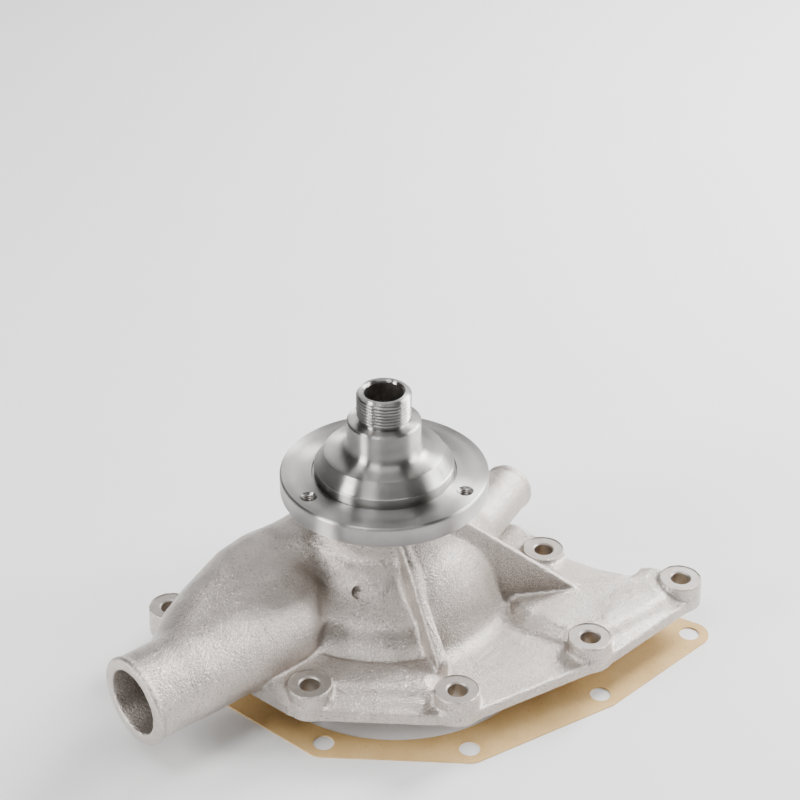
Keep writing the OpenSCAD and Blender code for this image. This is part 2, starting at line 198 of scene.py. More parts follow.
# Turned outlines as (height, radius): the low round body at the front left, and the high one round the rest
drum_rows = [(8.0, 63.2), (9.3, 62.2), (10.0, 60.2), (11.3, 57.4), (13.2, 55.0), (15.8, 53.0), (18.8, 51.6),
             (20.8, 50.2), (22.2, 47.8), (23.4, 44.8), (25.0, 41.0), (27.2, 37.2), (30.2, 33.8), (34.0, 31.4),
             (38.0, 30.0)]
dome_rows = [(2.6, 64.0), (4.0, 60.0), (5.4, 57.4), (7.6, 55.2), (11.5, 53.6), (15.5, 52.3), (20.0, 51.2),
             (25.0, 49.8), (30.0, 48.2), (35.0, 45.8), (39.5, 42.8), (43.5, 39.0), (47.0, 34.5), (50.0, 29.5),
             (53.0, 23.0)]
# Balls that the duct is stretched over, from the inlet spigot round to the nose: x, y, z and radius
duct_balls = [(-76.5, -84.1, 20.0, 19.1), (-75.6, -72.0, 20.0, 19.3), (-74.0, -60.0, 20.0, 19.3),
              (-70.1, -47.3, 20.0, 19.3), (-64.8, -34.0, 20.0, 19.3), (-60.0, -22.8, 20.0, 19.3),
              (-53.6, -14.6, 20.3, 19.4), (-42.3, -7.4, 21.3, 19.8), (-28.0, 4.0, 24.0, 21.0),
              (-14.0, 6.0, 27.0, 21.0), (-20.0, -6.0, 27.0, 20.0), (-36.0, -10.0, 24.0, 20.0),
              (-43.5, -28.0, 21.0, 19.0), (-43.0, -51.0, 20.0, 19.0)]
# The shallow fold where the duct's crest runs into the hood: two ends
fold = [(-42.0, -54.0, 45.0), (-23.5, -31.0, 42.5)]
fold_r = 7.0


def smooth_curve(rows, spread):
    """Heights, radii and slopes along a turned outline, with its corners eased over a spread in mm."""
    step = 0.1
    z = np.arange(rows[0][0] - 8, rows[-1][0] + 8, step)
    r = np.interp(z, [row[0] for row in rows], [row[1] for row in rows])
    n = int(spread / step)
    kernel = np.hanning(2 * n + 3)
    r = np.convolve(r, kernel / kernel.sum(), "same")[2 * n:-2 * n]
    return z[2 * n:-2 * n], r, np.gradient(r, step)


def round_body(x, y, z, rows):
    """Distance to a turned body whose radius falls as it rises."""
    heights, radii, slopes = smooth_curve(rows, 2.0)
    slope = np.interp(z, heights, slopes)
    return (np.hypot(x, y) - np.interp(z, heights, radii)) / np.hypot(1, slope)


def flange_outline():
    """The two straight-sided outlines round the ring: the front with the wing, and the back left."""
    r = boss_r
    front = ([tangent_edge(lug_bolt, front_left, r)[0]] + front_corner + [front_left]
             + tangent_edge(front_left, front_right, r) + tangent_edge(front_right, wing_bolt, r)
             + tangent_edge(wing_bolt, tip_bolt, r) + wing_notch + [heater_bolt]
             + tangent_edge(heater_bolt, back_right, r) + [(0.0, 0.0)])
    back = tangent_edge(back_left, plate_bolt, r) + tangent_edge(plate_bolt, lug_bolt, r) + [(0.0, 0.0)]
    return front, back


def flange_distance(x, y):
    """The flange's outline, seen from above."""
    front, back = flange_outline()
    d = np.minimum(upright(x, y, (0.0, mid_y), ring_r), polygon_distance(x, y, front))
    d = np.minimum(d, polygon_distance(x, y, back))
    for bolt in raised_bolts:
        d = smooth_min(d, upright(x, y, bolt, boss_r), 1.0)
    return d


def pad(x, y, z, points, top, slope, k):
    """A raised pad with sloping sides."""
    side = (polygon_distance(x, y, points) + (z - top) * slope) / math.hypot(1, slope)
    return smooth_max(side, z - top, k)


def drum(x, y, z):
    """The low round body at the left of the front rib: a hollow foot, and a shoulder up to the nose."""
    v = along(front_rib_turn, x, y)[1]
    body = smooth_max(round_body(x, y, z, drum_rows), z - 38.0, 1.0)
    return smooth_max(body, v - front_rib_y - 3.0, 2.0)


def dome(x, y, z):
    """The high side of the round body, from the front rib round by the right and the back."""
    v = along(front_rib_turn, x, y)[1]
    return smooth_max(round_body(x, y, z, dome_rows), front_rib_y - v, 3.0)


def duct(x, y, z, shrink):
    """The passage from the inlet, which widens into a broad hood at the left of the shaft."""
    outline = [ball[:2] for ball in duct_balls]
    blend_area = 40.0                   # keeps one ball from ruling alone at its centre, in square mm
    total, height, radius = 0.0, 0.0, 0.0
    for bx, by, bz, br in duct_balls:
        weight = 1.0 / ((x - bx) ** 2 + (y - by) ** 2 + blend_area) ** 2
        total = total + weight
        height = height + weight * bz
        radius = radius + weight * br
    sideways = np.maximum(polygon_distance(x, y, outline), 0)
    return np.hypot(sideways, z - height / total) - radius / total + shrink


def fold_distance(x, y, z):
    """Distance to the round-ended bar that presses the fold into the hood."""
    (ax, ay, az), (bx, by, bz) = fold
    ex, ey, ez = bx - ax, by - ay, bz - az
    t = np.clip(((x - ax) * ex + (y - ay) * ey + (z - az) * ez) / (ex * ex + ey * ey + ez * ez), 0, 1)
    return np.sqrt((x - ax - t * ex) ** 2 + (y - ay - t * ey) ** 2 + (z - az - t * ez) ** 2) - fold_r


def nose(x, y, z):
    """The slightly tapered tower that holds the bearing."""
    return smooth_max(np.hypot(x, y) - nose_r + nose_draft * z, z - nose_top, 1.0)


def inlet_pipe(x, y, z):
    """The large spigot, with its bead, from its mouth to inside the duct."""
    u, v = along(inlet_turn, x, y)
    lip = bead * (1 - ramp(u, inlet_mouth + 2.4, inlet_mouth + 4.0))
    body = np.hypot(v - inlet_y, z - inlet_z) - inlet_r - lip
    return smooth_max(smooth_max(body, inlet_mouth + 0.2 - u, 1.4), u + 85.0, 2.0)


def heater_pipe(x, y, z):
    """The small spigot, with its bead, from inside the round body to its mouth."""
    u, v = along(heater_turn, x, y)
    lip = bead * ramp(u, heater_mouth - 3.8, heater_mouth - 2.4)
    body = np.hypot(v - heater_y, z - heater_z) - heater_r - lip
    return smooth_max(smooth_max(body, u - heater_mouth + 0.2, 1.2), 12.0 - u, 2.0)


def rib(x, y, z, turn, offset, thin, thick, start, end):
    """An upright web under a sloping edge between two points: (distance from the shaft, height)."""
    u, v = along(turn, x, y)
    (u0, z0), (u1, z1) = start, end
    slope = (z1 - z0) / (u1 - u0)
    top = (z - z0 - slope * (u - u0)) / math.hypot(1, slope)
    half = thin + (thick - thin) * np.clip((z0 - z) / (z0 - z1), 0, 1)
    d = smooth_max(np.abs(v - offset) - half, top, 1.4)
    return smooth_max(smooth_max(d, u - u1, 1.6), 10.0 - u, 1.0)


def wet_space(x, y, z):
    """The coolant's way from the inlet to the impeller's eye, and out to the heater."""
    r = np.hypot(x, y)
    low = smooth_max(r - low_room_r, z - low_room_top, 4.0)
    v = along(front_rib_turn, x, y)[1]
    high = smooth_max(round_body(x, y, z, dome_rows) + wall, front_rib_y + 4.0 - v, 3.0)
    high = smooth_max(high, r - high_room_r, 2.0)
    d = smooth_min(np.minimum(low, high), duct(x, y, z, wall + 0.3), 3.0)
    d = smooth_max(smooth_max(d, 6.0 - z, 1.5), core_r - r, 1.5)
    eye = smooth_max(np.maximum(r - eye_r, core_r - r), z - eye_top, 1.0)
    u, v = along(inlet_turn, x, y)
    bore = smooth_max(np.hypot(v - inlet_y, z - inlet_z) - inlet_bore_r, u + 70.0, 2.0)
    u, v = along(heater_turn, x, y)
    heater = smooth_max(np.hypot(v - heater_y, z - heater_z) - heater_r + heater_wall, 24.0 - u, 1.0)
    return smooth_min(np.minimum(np.minimum(d, eye), heater), bore, 1.5)


def relief(x, y, z):
    """Slow unevenness of a sand-cast surface, in mm."""
    along_x = np.sin(0.71 * x + 0.9 * np.sin(0.37 * y))
    along_y = np.sin(0.63 * y + 0.8 * np.sin(0.41 * z + 0.3 * x))
    fine = np.sin(1.37 * x - 0.5 * z) * np.sin(1.21 * y + 1.1 * z)
    return 0.055 * along_x * along_y + 0.04 * fine


def casting(x, y, z):
    """Signed distance to the casting, before it is machined."""
    outline = flange_distance(x, y)
    d = smooth_max(outline, z - plate_top, 1.6)
    shelf = pad(x, y, z, front_pad, pad_top + 0.3, 0.9, 2.0)
    shelf = smooth_min(shelf, pad(x, y, z, front_step, 7.4, 1.0, 1.5), 1.2)
    d = smooth_min(d, smooth_max(shelf, trough_r - np.hypot(x, y), 0.8), 1.5)
    wing = pad(x, y, z, wing_pad, pad_top - 0.4, 0.6, 2.5)
    wing = smooth_min(wing, pad(x, y, z, wing_slope, pad_top - 0.4, 1.6, 2.5), 2.0)
    d = smooth_max(smooth_min(d, wing, 2.4), outline, 1.2)
    for bolt in raised_bolts:
        d = smooth_min(d, smooth_max(upright(x, y, bolt, boss_r + 0.3), z - boss_top - 0.45, 0.8), 2.0)
    upper = smooth_min(drum(x, y, z), dome(x, y, z), 4.0)
    upper = smooth_min(upper, nose(x, y, z), 7.0)
    hood = smooth_max(duct(x, y, z, 0.0), -fold_distance(x, y, z), 5.0)
    upper = smooth_min(upper, hood, 8.0)
    upper = smooth_min(upper, inlet_pipe(x, y, z), 2.0)
    d = smooth_min(d, upper, 2.2)
    d = smooth_min(d, heater_pipe(x, y, z), 5.0)
    front_rib = rib(x, y, z, front_rib_turn, front_rib_y, 1.7, 2.8, (33.0, 49.5), (70.8, 13.2))
    wing_rib = rib(x, y, z, wing_rib_turn, wing_rib_y, 1.3, 1.9, (34.0, 51.5), (84.0, 10.6))
    d = smooth_min(smooth_min(d, front_rib, 2.0), wing_rib, 1.8)
    d = d + relief(x, y, z)
    d = smooth_max(d, -wet_space(x, y, z), 1.0)
    opening = np.maximum(upright(x, y, (0.0, mid_y), opening_r), -upright(x, y, heater_bolt, boss_r))
    return smooth_max(d, -np.maximum(opening, z - recess), 0.8)


# ---- mesh code ---------------------------------------------------------------------------------------------

CORNERS = [(i, j, k) for i in (0, 1) for j in (0, 1) for k in (0, 1)]


def skin(distance, lo, hi, cell):
    """Quads over the zero surface of a distance function: points in mm, and faces."""
    axes = [np.arange(a, b + cell, cell) for a, b in zip(lo, hi)]
    x, y, z = axes[0][:, None, None], axes[1][None, :, None], axes[2][None, None, :]
    f = np.array(np.broadcast_to(distance(x, y, z), [len(a) for a in axes]))
    for s in (0, -1):
        f[s], f[:, s], f[:, :, s] = cell, cell, cell
    inside = f < 0
    n = [len(a) - 1 for a in axes]
    count = sum(inside[i:n[0] + i, j:n[1] + j, k:n[2] + k].astype(np.int8) for i, j, k in CORNERS)
    cells = np.argwhere((count > 0) & (count < 8))
    index = np.full(n, -1, dtype=np.int64)
    index[tuple(cells.T)] = np.arange(len(cells))
    values = np.stack([f[cells[:, 0] + i, cells[:, 1] + j, cells[:, 2] + k] for i, j, k in CORNERS], axis=1)
    total, hits = np.zeros((len(cells), 3)), np.zeros(len(cells))
    for a, corner_a in enumerate(CORNERS):
        for b, corner_b in enumerate(CORNERS):
            if b > a and sum(abs(p - q) for p, q in zip(corner_a, corner_b)) == 1:
                va, vb = values[:, a], values[:, b]
                cut = (va < 0) != (vb < 0)
                t = np.where(cut, va / np.where(cut, va - vb, 1), 0)[:, None]
                step = np.array(corner_b) - np.array(corner_a)
                total += np.where(cut[:, None], np.array(corner_a) + t * step, 0)
                hits += cut
    points = np.array([a[0] for a in axes]) + (cells + total / hits[:, None]) * cell
    quads = []
    for axis in range(3):
        b, c = (axis + 1) % 3, (axis + 2) % 3
        here, there = [slice(None)] * 3, [slice(None)] * 3
        here[axis], there[axis] = slice(0, -1), slice(1, None)
        for s in (b, c):
            here[s] = there[s] = slice(1, -1)
        first, second = inside[tuple(here)], inside[tuple(there)]
        edges = np.argwhere(first != second)
        outward = first[tuple(edges.T)]
        edges[:, b] += 1
        edges[:, c] += 1
        step_b, step_c = np.eye(3, dtype=int)[b], np.eye(3, dtype=int)[c]
        ring = [edges - step_b - step_c, edges - step_c, edges, edges - step_b]
        loop = np.stack([index[tuple(p.T)] for p in ring], axis=1)
        loop[~outward] = loop[~outward][:, ::-1]
        quads.append(loop)
    return points, np.concatenate(quads)


def settle(distance, points, rounds):
    """Moves points onto the zero surface, along its slope."""
    h = 0.05
    for _ in range(rounds):
        x, y, z = points.T
        f = distance(x, y, z)
        slopes = [distance(x + h, y, z) - f, distance(x, y + h, z) - f, distance(x, y, z + h) - f]
        g = np.stack(slopes, axis=1) / h
        move = -f[:, None] * g / np.maximum((g ** 2).sum(axis=1), 0.25)[:, None]
        points = points + np.clip(move, -0.3, 0.3)
    return points


def mesh_object(name, points_mm, faces, material=None):
    """An object from points in mm and faces that all have the same number of sides."""
    mesh = bpy.data.meshes.new(name)
    points = np.asarray(points_mm, dtype=np.float32) * MM
    faces = np.asarray(faces, dtype=np.int32)
    mesh.vertices.add(len(points))
    mesh.vertices.foreach_set("co", points.ravel())
    mesh.loops.add(faces.size)
    mesh.loops.foreach_set("vertex_index", faces.ravel())
    mesh.polygons.add(len(faces))
    mesh.polygons.foreach_set("loop_start", np.arange(0, faces.size, faces.shape[1], dtype=np.int32))
    mesh.update(calc_edges=True)
    mesh.validate()
    obj = bpy.data.objects.new(name, mesh)
    bpy.context.scene.collection.objects.link(obj)
    if material:
        mesh.materials.append(material)
    return obj


def lathe(name, profile, steps, material=None, closed=False, ripple=None):
    """A turned piece: profile holds (radius, height) in mm. A ripple changes a row's radius as it turns."""
    turn = np.linspace(0, 2 * math.pi, steps, endpoint=False)
    r = np.array([[p[0]] for p in profile]) + np.zeros(steps)
    z = np.array([[p[1]] for p in profile]) + np.zeros(steps)
    if ripple:
        r = ripple(r, z, turn[None, :])
    points = np.stack([r * np.cos(turn), r * np.sin(turn), z], axis=2).reshape(-1, 3)
    rows = len(profile) if closed else len(profile) - 1
    i, j = np.meshgrid(np.arange(rows), np.arange(steps), indexing="ij")
    up, on = (i + 1) % len(profile), (j + 1) % steps
    faces = np.stack([i * steps + j, i * steps + on, up * steps + on, up * steps + j], axis=2).reshape(-1, 4)
    return mesh_object(name, points, faces, material)


def cutter(name, profile, place, material, steps=64):
    """A closed turned solid, standing on Z at its place, for a cut."""
    closed_profile = [(0.0, profile[0][1])] + list(profile) + [(0.0, profile[-1][1])]
    obj = lathe(name, closed_profile[1:-1], steps, material)
    mesh = obj.data
    ends = [range(0, steps), range(steps * (len(profile) - 1), steps * len(profile))]
    points = [v.co.copy() for v in mesh.vertices]
    faces = [list(p.vertices) for p in mesh.polygons] + [list(ends[0])[::-1], list(ends[1])]
    mesh.clear_geometry()
    mesh.from_pydata(points, [], faces)
    mesh.transform(place)
    return obj


def carve(obj, cutters):
    """Cuts away the cutters, which leave their own material behind, and removes them."""
    group = bpy.data.collections.new("cuts")
    bpy.context.scene.collection.children.link(group)
    for c in cutters:
        bpy.context.scene.collection.objects.unlink(c)
        group.objects.link(c)
    for c in cutters:
        mod = obj.modifiers.new("cut", "BOOLEAN")
        mod.operation, mod.solver, mod.object = "DIFFERENCE", "MANIFOLD", c
        mod.material_mode = "TRANSFER"
        bpy.context.view_layer.update()
        mesh = bpy.data.meshes.new_from_object(obj.evaluated_get(bpy.context.evaluated_depsgraph_get()))
        obj.modifiers.clear()
        obj.data = mesh
    for c in cutters:
        bpy.data.objects.remove(c)
    bpy.data.collections.remove(group)


def soften(obj, degrees):
    """Smooth shading, with the edges sharper than an angle kept crisp."""
    obj.data.polygons.foreach_set("use_smooth", np.ones(len(obj.data.polygons), dtype=bool))
    obj.data.set_sharp_from_angle(angle=math.radians(degrees))


# ---- materials ---------------------------------------------------------------------------------------------


def shader(name, colour, metallic, roughness):
    """A new material and its principled shader, with plain values on the shader's own sockets."""
    material = bpy.data.materials.new(name)
    material.use_nodes = True
    bsdf = material.node_tree.nodes["Principled BSDF"]
    bsdf.inputs["Base Color"].default_value = (*colour, 1)
    bsdf.inputs["Metallic"].default_value = metallic
    bsdf.inputs["Roughness"].default_value = roughness
    return material, material.node_tree, bsdf


def add(tree, kind, inputs=(), **settings):
    """A node with its settings and its inputs: each input is a value, or another node's socket."""
    node = tree.nodes.new(kind)
    for key, value in settings.items():
        setattr(node, key, value)
    for key, value in dict(inputs).items():
        if isinstance(value, bpy.types.NodeSocket):
            tree.links.new(value, node.inputs[key])
        else:
            node.inputs[key].default_value = value
    return node


def place_of(tree):
    """The point on the piece, in metres."""
    return tree.nodes.new("ShaderNodeTexCoord").outputs["Object"]


def noise(tree, vector, per_metre, detail=3.0, rough=0.55):
    """A noise value, 0 to 1, with a number of grains to the metre."""
    inputs = {"Vector": vector, "Scale": per_metre, "Detail": detail, "Roughness": rough}
    return add(tree, "ShaderNodeTexNoise", inputs).outputs["Fac"]


def remap(tree, value, low, high, to_low, to_high):
    """A value moved from one range to another, and held inside it."""
    inputs = {"Value": value, "From Min": low, "From Max": high, "To Min": to_low, "To Max": to_high}
    return add(tree, "ShaderNodeMapRange", inputs).outputs["Result"]


def blend(tree, factor, a, b):
    """Two colours mixed."""
    node = add(tree, "ShaderNodeMix", data_type="RGBA")
    tree.links.new(factor, node.inputs[0])
    for socket, colour in ((node.inputs[6], a), (node.inputs[7], b)):
        if isinstance(colour, bpy.types.NodeSocket):
            tree.links.new(colour, socket)
        else:
            socket.default_value = (*colour, 1)
    return node.outputs[2]


def maths(tree, operation, a, b=0.0):
    """One arithmetic step between values."""
    return add(tree, "ShaderNodeMath", {0: a, 1: b}, operation=operation).outputs[0]


def bump(tree, bsdf, height, depth_mm, strength=1.0):
    """Raises the surface by height, 0 to 1, times depth."""
    inputs = {"Height": height, "Distance": depth_mm * MM, "Strength": strength}
    tree.links.new(add(tree, "ShaderNodeBump", inputs).outputs["Normal"], bsdf.inputs["Normal"])


def cast_aluminium():
    """Blasted sand casting: coarse grain over a slow mottle, with painted glints and painted shade in the
    grain.
    """
    material, tree, bsdf = shader("cast_aluminium", (0.46, 0.44, 0.43), 0.95, 0.45)
    where = place_of(tree)
    grit = noise(tree, where, 2200, 2.0, 0.65)
    grain = noise(tree, where, 980, 3.0, 0.6)
    mottle = noise(tree, where, 80, 3.0, 0.5)
    tone = blend(tree, remap(tree, mottle, 0.35, 0.65, 0, 1), (0.45, 0.405, 0.37), (0.54, 0.49, 0.45))
    # Bright specks where the grit is high, on the bump's peaks: random grain, brightened as painted glints.
    painted_glint = remap(tree, grit, 0.53, 0.66, 0, 0.75)
    tone = blend(tree, painted_glint, tone, (0.85, 0.80, 0.755))
    # Dark specks where the grain is low, in the bump's hollows: random grain, darkened as painted shade in
    # the pits.
    painted_pit_shade = remap(tree, grain, 0.44, 0.30, 0, 0.75)
    tone = blend(tree, painted_pit_shade, tone, (0.22, 0.18, 0.155))
    tree.links.new(tone, bsdf.inputs["Base Color"])
    tree.links.new(remap(tree, grit, 0.38, 0.62, 0.44, 0.24), bsdf.inputs["Roughness"])
    height = maths(tree, "ADD", maths(tree, "MULTIPLY", grit, 0.42), maths(tree, "MULTIPLY", grain, 0.7))
    bump(tree, bsdf, maths(tree, "ADD", height, maths(tree, "MULTIPLY", mottle, 0.3)), 0.58)
    return material


def machined_aluminium():
    """Faces and bores cut after casting: bright, with the fine marks of the tool."""
    material, tree, bsdf = shader("machined_aluminium", (0.48, 0.445, 0.415), 1.0, 0.45)
    where = place_of(tree)
    marks = noise(tree, where, 2600, 1.0, 0.4)
    stain = noise(tree, where, 160, 3.0, 0.6)
    tone = blend(tree, remap(tree, stain, 0.4, 0.7, 0, 1), (0.50, 0.465, 0.435), (0.40, 0.365, 0.335))
    tree.links.new(tone, bsdf.inputs["Base Color"])
    tree.links.new(remap(tree, stain, 0.3, 0.7, 0.40, 0.56), bsdf.inputs["Roughness"])
    bump(tree, bsdf, marks, 0.05)
    return material


def turned(name, colour, roughness, pitch_mm, depth_mm, stain_colour):
    """Metal from a lathe: fine rings about the Z axis, and faint stains."""
    material, tree, bsdf = shader(name, colour, 1.0, roughness)
    where = place_of(tree)
    axes = add(tree, "ShaderNodeSeparateXYZ", {"Vector": where}).outputs
    flat = add(tree, "ShaderNodeCombineXYZ", {"X": axes["X"], "Y": axes["Y"]}).outputs["Vector"]
    radius = add(tree, "ShaderNodeVectorMath", {0: flat}, operation="LENGTH").outputs["Value"]
    row = add(tree, "ShaderNodeCombineXYZ", {"X": radius, "Y": axes["Z"]}).outputs["Vector"]
    rings = noise(tree, row, 1000 / pitch_mm, 2.0, 0.6)
    bands = noise(tree, row, 160, 2.0, 0.5)
    stain = noise(tree, where, 70, 4.0, 0.6)
    tone = blend(tree, remap(tree, stain, 0.45, 0.75, 0, 1), colour, stain_colour)
    tree.links.new(tone, bsdf.inputs["Base Color"])
    tree.links.new(remap(tree, bands, 0.3, 0.7, roughness - 0.05, roughness + 0.08), bsdf.inputs["Roughness"])
    bump(tree, bsdf, rings, depth_mm)
    bsdf.inputs["Anisotropic"].default_value = 1.0
    bsdf.inputs["Anisotropic Rotation"].default_value = 0.25
    tangent = add(tree, "ShaderNodeTangent", direction_type="RADIAL", axis="Z")
    tree.links.new(tangent.outputs["Tangent"], bsdf.inputs["Tangent"])
    return material


def plain(name, colour, worn, metallic, roughness, per_metre, depth_mm):
    """A surface with fine grain, slow stains and uneven gloss."""
    material, tree, bsdf = shader(name, colour, metallic, roughness)
    where = place_of(tree)
    grain = noise(tree, where, per_metre, 3.0, 0.6)
    stain = noise(tree, where, per_metre / 9, 4.0, 0.6)
    tone = blend(tree, remap(tree, stain, 0.4, 0.7, 0, 1), colour, worn)
    tree.links.new(tone, bsdf.inputs["Base Color"])
    tree.links.new(remap(tree, grain, 0.3, 0.7, roughness - 0.08, roughness + 0.1), bsdf.inputs["Roughness"])
    bump(tree, bsdf, grain, depth_mm)
    return material


def gasket_paper():
    """Pressed fibre sheet: tan, matt, with short dark and pale fibres."""
    material, tree, bsdf = shader("gasket_paper", (0.62, 0.43, 0.23), 0.0, 0.8)
    where = place_of(tree)
    stretch = add(tree, "ShaderNodeMapping", {"Vector": where, "Scale": (1.0, 0.35, 1.0)}).outputs["Vector"]
    fibres = noise(tree, stretch, 900, 4.0, 0.7)
    cloud = noise(tree, where, 60, 4.0, 0.6)
    tone = blend(tree, remap(tree, cloud, 0.35, 0.65, 0, 1), (0.62, 0.40, 0.155), (0.70, 0.47, 0.20))
    tone = blend(tree, remap(tree, fibres, 0.38, 0.28, 0, 0.6), tone, (0.28, 0.15, 0.05))
    tone = blend(tree, remap(tree, fibres, 0.62, 0.74, 0, 0.5), tone, (0.84, 0.66, 0.38))
    tree.links.new(tone, bsdf.inputs["Base Color"])
    tree.links.new(remap(tree, fibres, 0.3, 0.7, 0.88, 0.72), bsdf.inputs["Roughness"])
    bump(tree, bsdf, fibres, 0.08)
    return material


# ---- pieces ------------------------------------------------------------------------------------------------


def at(x, y):
    """A place on the gasket face, from mm."""
    return Matrix.Translation((x * MM, y * MM, 0))


def drilling(bolt, high, material):
    """A chamfered bolt hole up to the boss's top, and a wider spotface from there up to a height."""
    chamfer = 0.6
    profile = [(bolt_r, -2.0), (bolt_r, boss_top - chamfer), (bolt_r + chamfer, boss_top),
               (boss_r - 0.3, boss_top), (boss_r - 0.1, high)]
    return cutter("drill", profile, at(*bolt), material)


def weep_drilling(material):
    """A shallow counterbore at the front of the nose, with a fine hole down to the seal's chamber."""
    turn, tilt = math.radians(-105), math.radians(58)
    foot_r, foot_z = 12.5, 13.2
    fine_r, counterbore_r = 0.4, 2.9
    profile = [(fine_r, 0.0), (fine_r, 25.0), (counterbore_r, 25.5), (counterbore_r, 45.0)]
    place = (Matrix.Rotation(turn, 4, "Z") @ Matrix.Translation((foot_r * MM, 0, foot_z * MM))
             @ Matrix.Rotation(tilt, 4, "Y"))
    return cutter("weep", profile, place, material, 40)


def bore_cutters(machined):
    """The bearing's bore from above, and from below the seal's bore with a wider step at its mouth."""
    bore, seal = bearing_r + press_fit, seal_r + press_fit
    chamfer = 0.8
    step_r, step_z = 24.0, 2.6
    upper = [(chamber_r, 13.0), (chamber_r, bearing_foot), (bore, bearing_foot), (bore, nose_top - chamfer),
             (bore + chamfer, nose_top), (bore + chamfer, nose_top + 3)]
    lower = [(step_r, -1.0), (step_r, step_z), (seal, step_z), (seal, 14.6)]
    return [cutter("bearing_bore", upper, Matrix(), machined, 128),
            cutter("seal_bore", lower, Matrix(), machined, 128)]


def paint_shade_in_bores(obj, bores, material):
    """Gives round bores along Z a darker material, painted shade on their walls: x, y and radius in mm."""
    mesh = obj.data
    mesh.materials.append(material)
    middle = np.empty(3 * len(mesh.polygons), dtype=np.float32)
    mesh.polygons.foreach_get("center", middle)
    middle = middle.reshape(-1, 3) / MM
    slots = np.empty(len(mesh.polygons), dtype=np.int32)
    mesh.polygons.foreach_get("material_index", slots)
    for x, y, r in bores:
        slots[np.hypot(middle[:, 0] - x, middle[:, 1] - y) < r] = len(mesh.materials) - 1
    mesh.polygons.foreach_set("material_index", slots)


def build_casting(cast, machined, drilled_and_shaded):
    """The cast housing: its skin from the distance field, then every machined face and bore."""
    cell = casting_cell
    lo, hi = box_mm("housing")
    points, quads = skin(casting, [v - 4 for v in lo], [v + 4 for v in hi], cell)
    points = settle(casting, points, 2)
    body = mesh_object("pump_casting", points, quads, cast)
    body.data.materials.append(machined)
    cuts = [cutter("base", [(250.0, -30.0), (250.0, 0.0)], Matrix(), machined, 24)]
    for bolt in raised_bolts:
        cuts.append(drilling(bolt, 30.0 if bolt != lug_bolt else boss_top + 1.5, machined))
    plate_hole = [(bolt_r, -2.0), (bolt_r, plate_top + 3)]
    cuts.append(cutter("plate_hole", plate_hole, at(*plate_bolt), machined))
    cuts += bore_cutters(machined)
    cuts.append(weep_drilling(cast))
    carve(body, cuts)
    # The bores' walls take the darker drilled material: painted shade inside the holes.
    paint_shade_in_bores(body, [(x, y, bolt_r + 0.1) for x, y in raised_bolts + [plate_bolt]], drilled_and_shaded)
    soften(body, 38)
    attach(body, "pump_body")
    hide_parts("housing")
    return body


def arc(cx, cz, r, start, end, steps):
    """Points of an arc, as (radius, height), from one angle to another in degrees."""
    return [(cx + r * math.cos(math.radians(start + (end - start) * i / steps)),
             cz + r * math.sin(math.radians(start + (end - start) * i / steps))) for i in range(steps + 1)]


thread_pitch = 1.5
thread_depth = 0.92
thread_steps = 96                       # rows of the lathe along the thread
neck_r = 16.2
neck_top = 26.2                         # above the hub's face
neck_fillet = 5.6
first_tap = math.radians(97.2)          # turn of the first tapped hole for the pulley


def thread_ripple(r, z, turn):
    """Cuts a left-hand thread into the rows of the nose."""
    h = z - hub_face
    phase = np.mod(h / thread_pitch + turn / (2 * math.pi), 1.0)
    groove = np.clip(1.35 - np.abs(phase - 0.5) * 3.4, 0, 1) * thread_depth
    threaded = (r > thread_r - 0.5) & (h > neck_top + 2.2) & (r < thread_r + 0.5)
    return np.where(threaded, r - groove, r)


def hub_profile():
    """The hub's turned outline, from the back of its bore round the rim and up to the nose."""
    f = hub_face
    rows = [(shaft_r, hub_foot), (shaft_r + 4, hub_foot), (hub_r - 8, hub_foot), (hub_r - 0.8, hub_foot)]
    rows += arc(hub_r - 0.8, hub_foot + 0.8, 0.8, -90, 0, 3)
    rows += [(hub_r, f - 3), (hub_r, f - 1.0), (hub_r - 0.25, f - 0.45), (hub_r - 0.8, f)]
    rows += [(r, f) for r in (hub_r - 3, hub_r - 8, 34.0)]
    rows += [(pilot_r + 1.25, f), (pilot_r + 1.15, f - 0.15), (pilot_r + 1.0, f - 1.2)]
    rows += [(pilot_r + 0.15, f - 1.2), (pilot_r, f - 1.0), (pilot_r, f + 1.0), (pilot_r, f + 3.7)]
    rows += [(pilot_r - 0.15, f + 4.0), (pilot_r - 0.5, f + 4.2), (pilot_r - 2.5, f + 6.9)]
    rows += [(26.5, f + 10.0), (26.25, f + 10.3), (25.8, f + 10.45), (23.5, f + 10.75)]
    rows += arc(neck_r + neck_fillet, f + 16.5, neck_fillet, 264, 180, 14)
    rows += [(neck_r, f + 20.0), (neck_r, f + 23.0), (neck_r, f + 25.4), (neck_r - 0.8, f + neck_top)]
    rows += [(14.0, f + neck_top), (thread_r - 1.0, f + neck_top), (thread_r - 1.15, f + neck_top + 0.3)]
    rows += [(thread_r - 1.15, f + neck_top + 1.4), (thread_r, f + neck_top + 2.4)]
    start, top = f + neck_top + 2.45, hub_top - 1.1
    rows += [(thread_r, start + (top - start) * i / thread_steps) for i in range(thread_steps + 1)]
    rows += [(thread_r - 1.1, hub_top), (9.4, hub_top), (8.9, hub_top - 0.5), (8.6, hub_top - 1.2)]
    return rows + [(8.6, f + 22.0), (shaft_r, f + 21.0), (shaft_r, f + 5.0)]


def tap_profile():
    """A tapped hole through the hub's flange: rings for the thread, and a countersink at the face."""
    root_r, crest_r, sink_r = 3.0, 2.5, 3.75
    turns = 8
    profile = [(root_r, hub_foot - 1), (root_r, hub_foot + 0.3)]
    for k in range(turns):
        z = hub_foot + 0.3 + (hub_face - 0.8 - hub_foot - 0.3) * k / turns
        profile += [(crest_r, z + 0.35), (crest_r, z + 0.5), (root_r, z + 0.9)]
    return profile + [(sink_r, hub_face), (sink_r, hub_face + 1)]


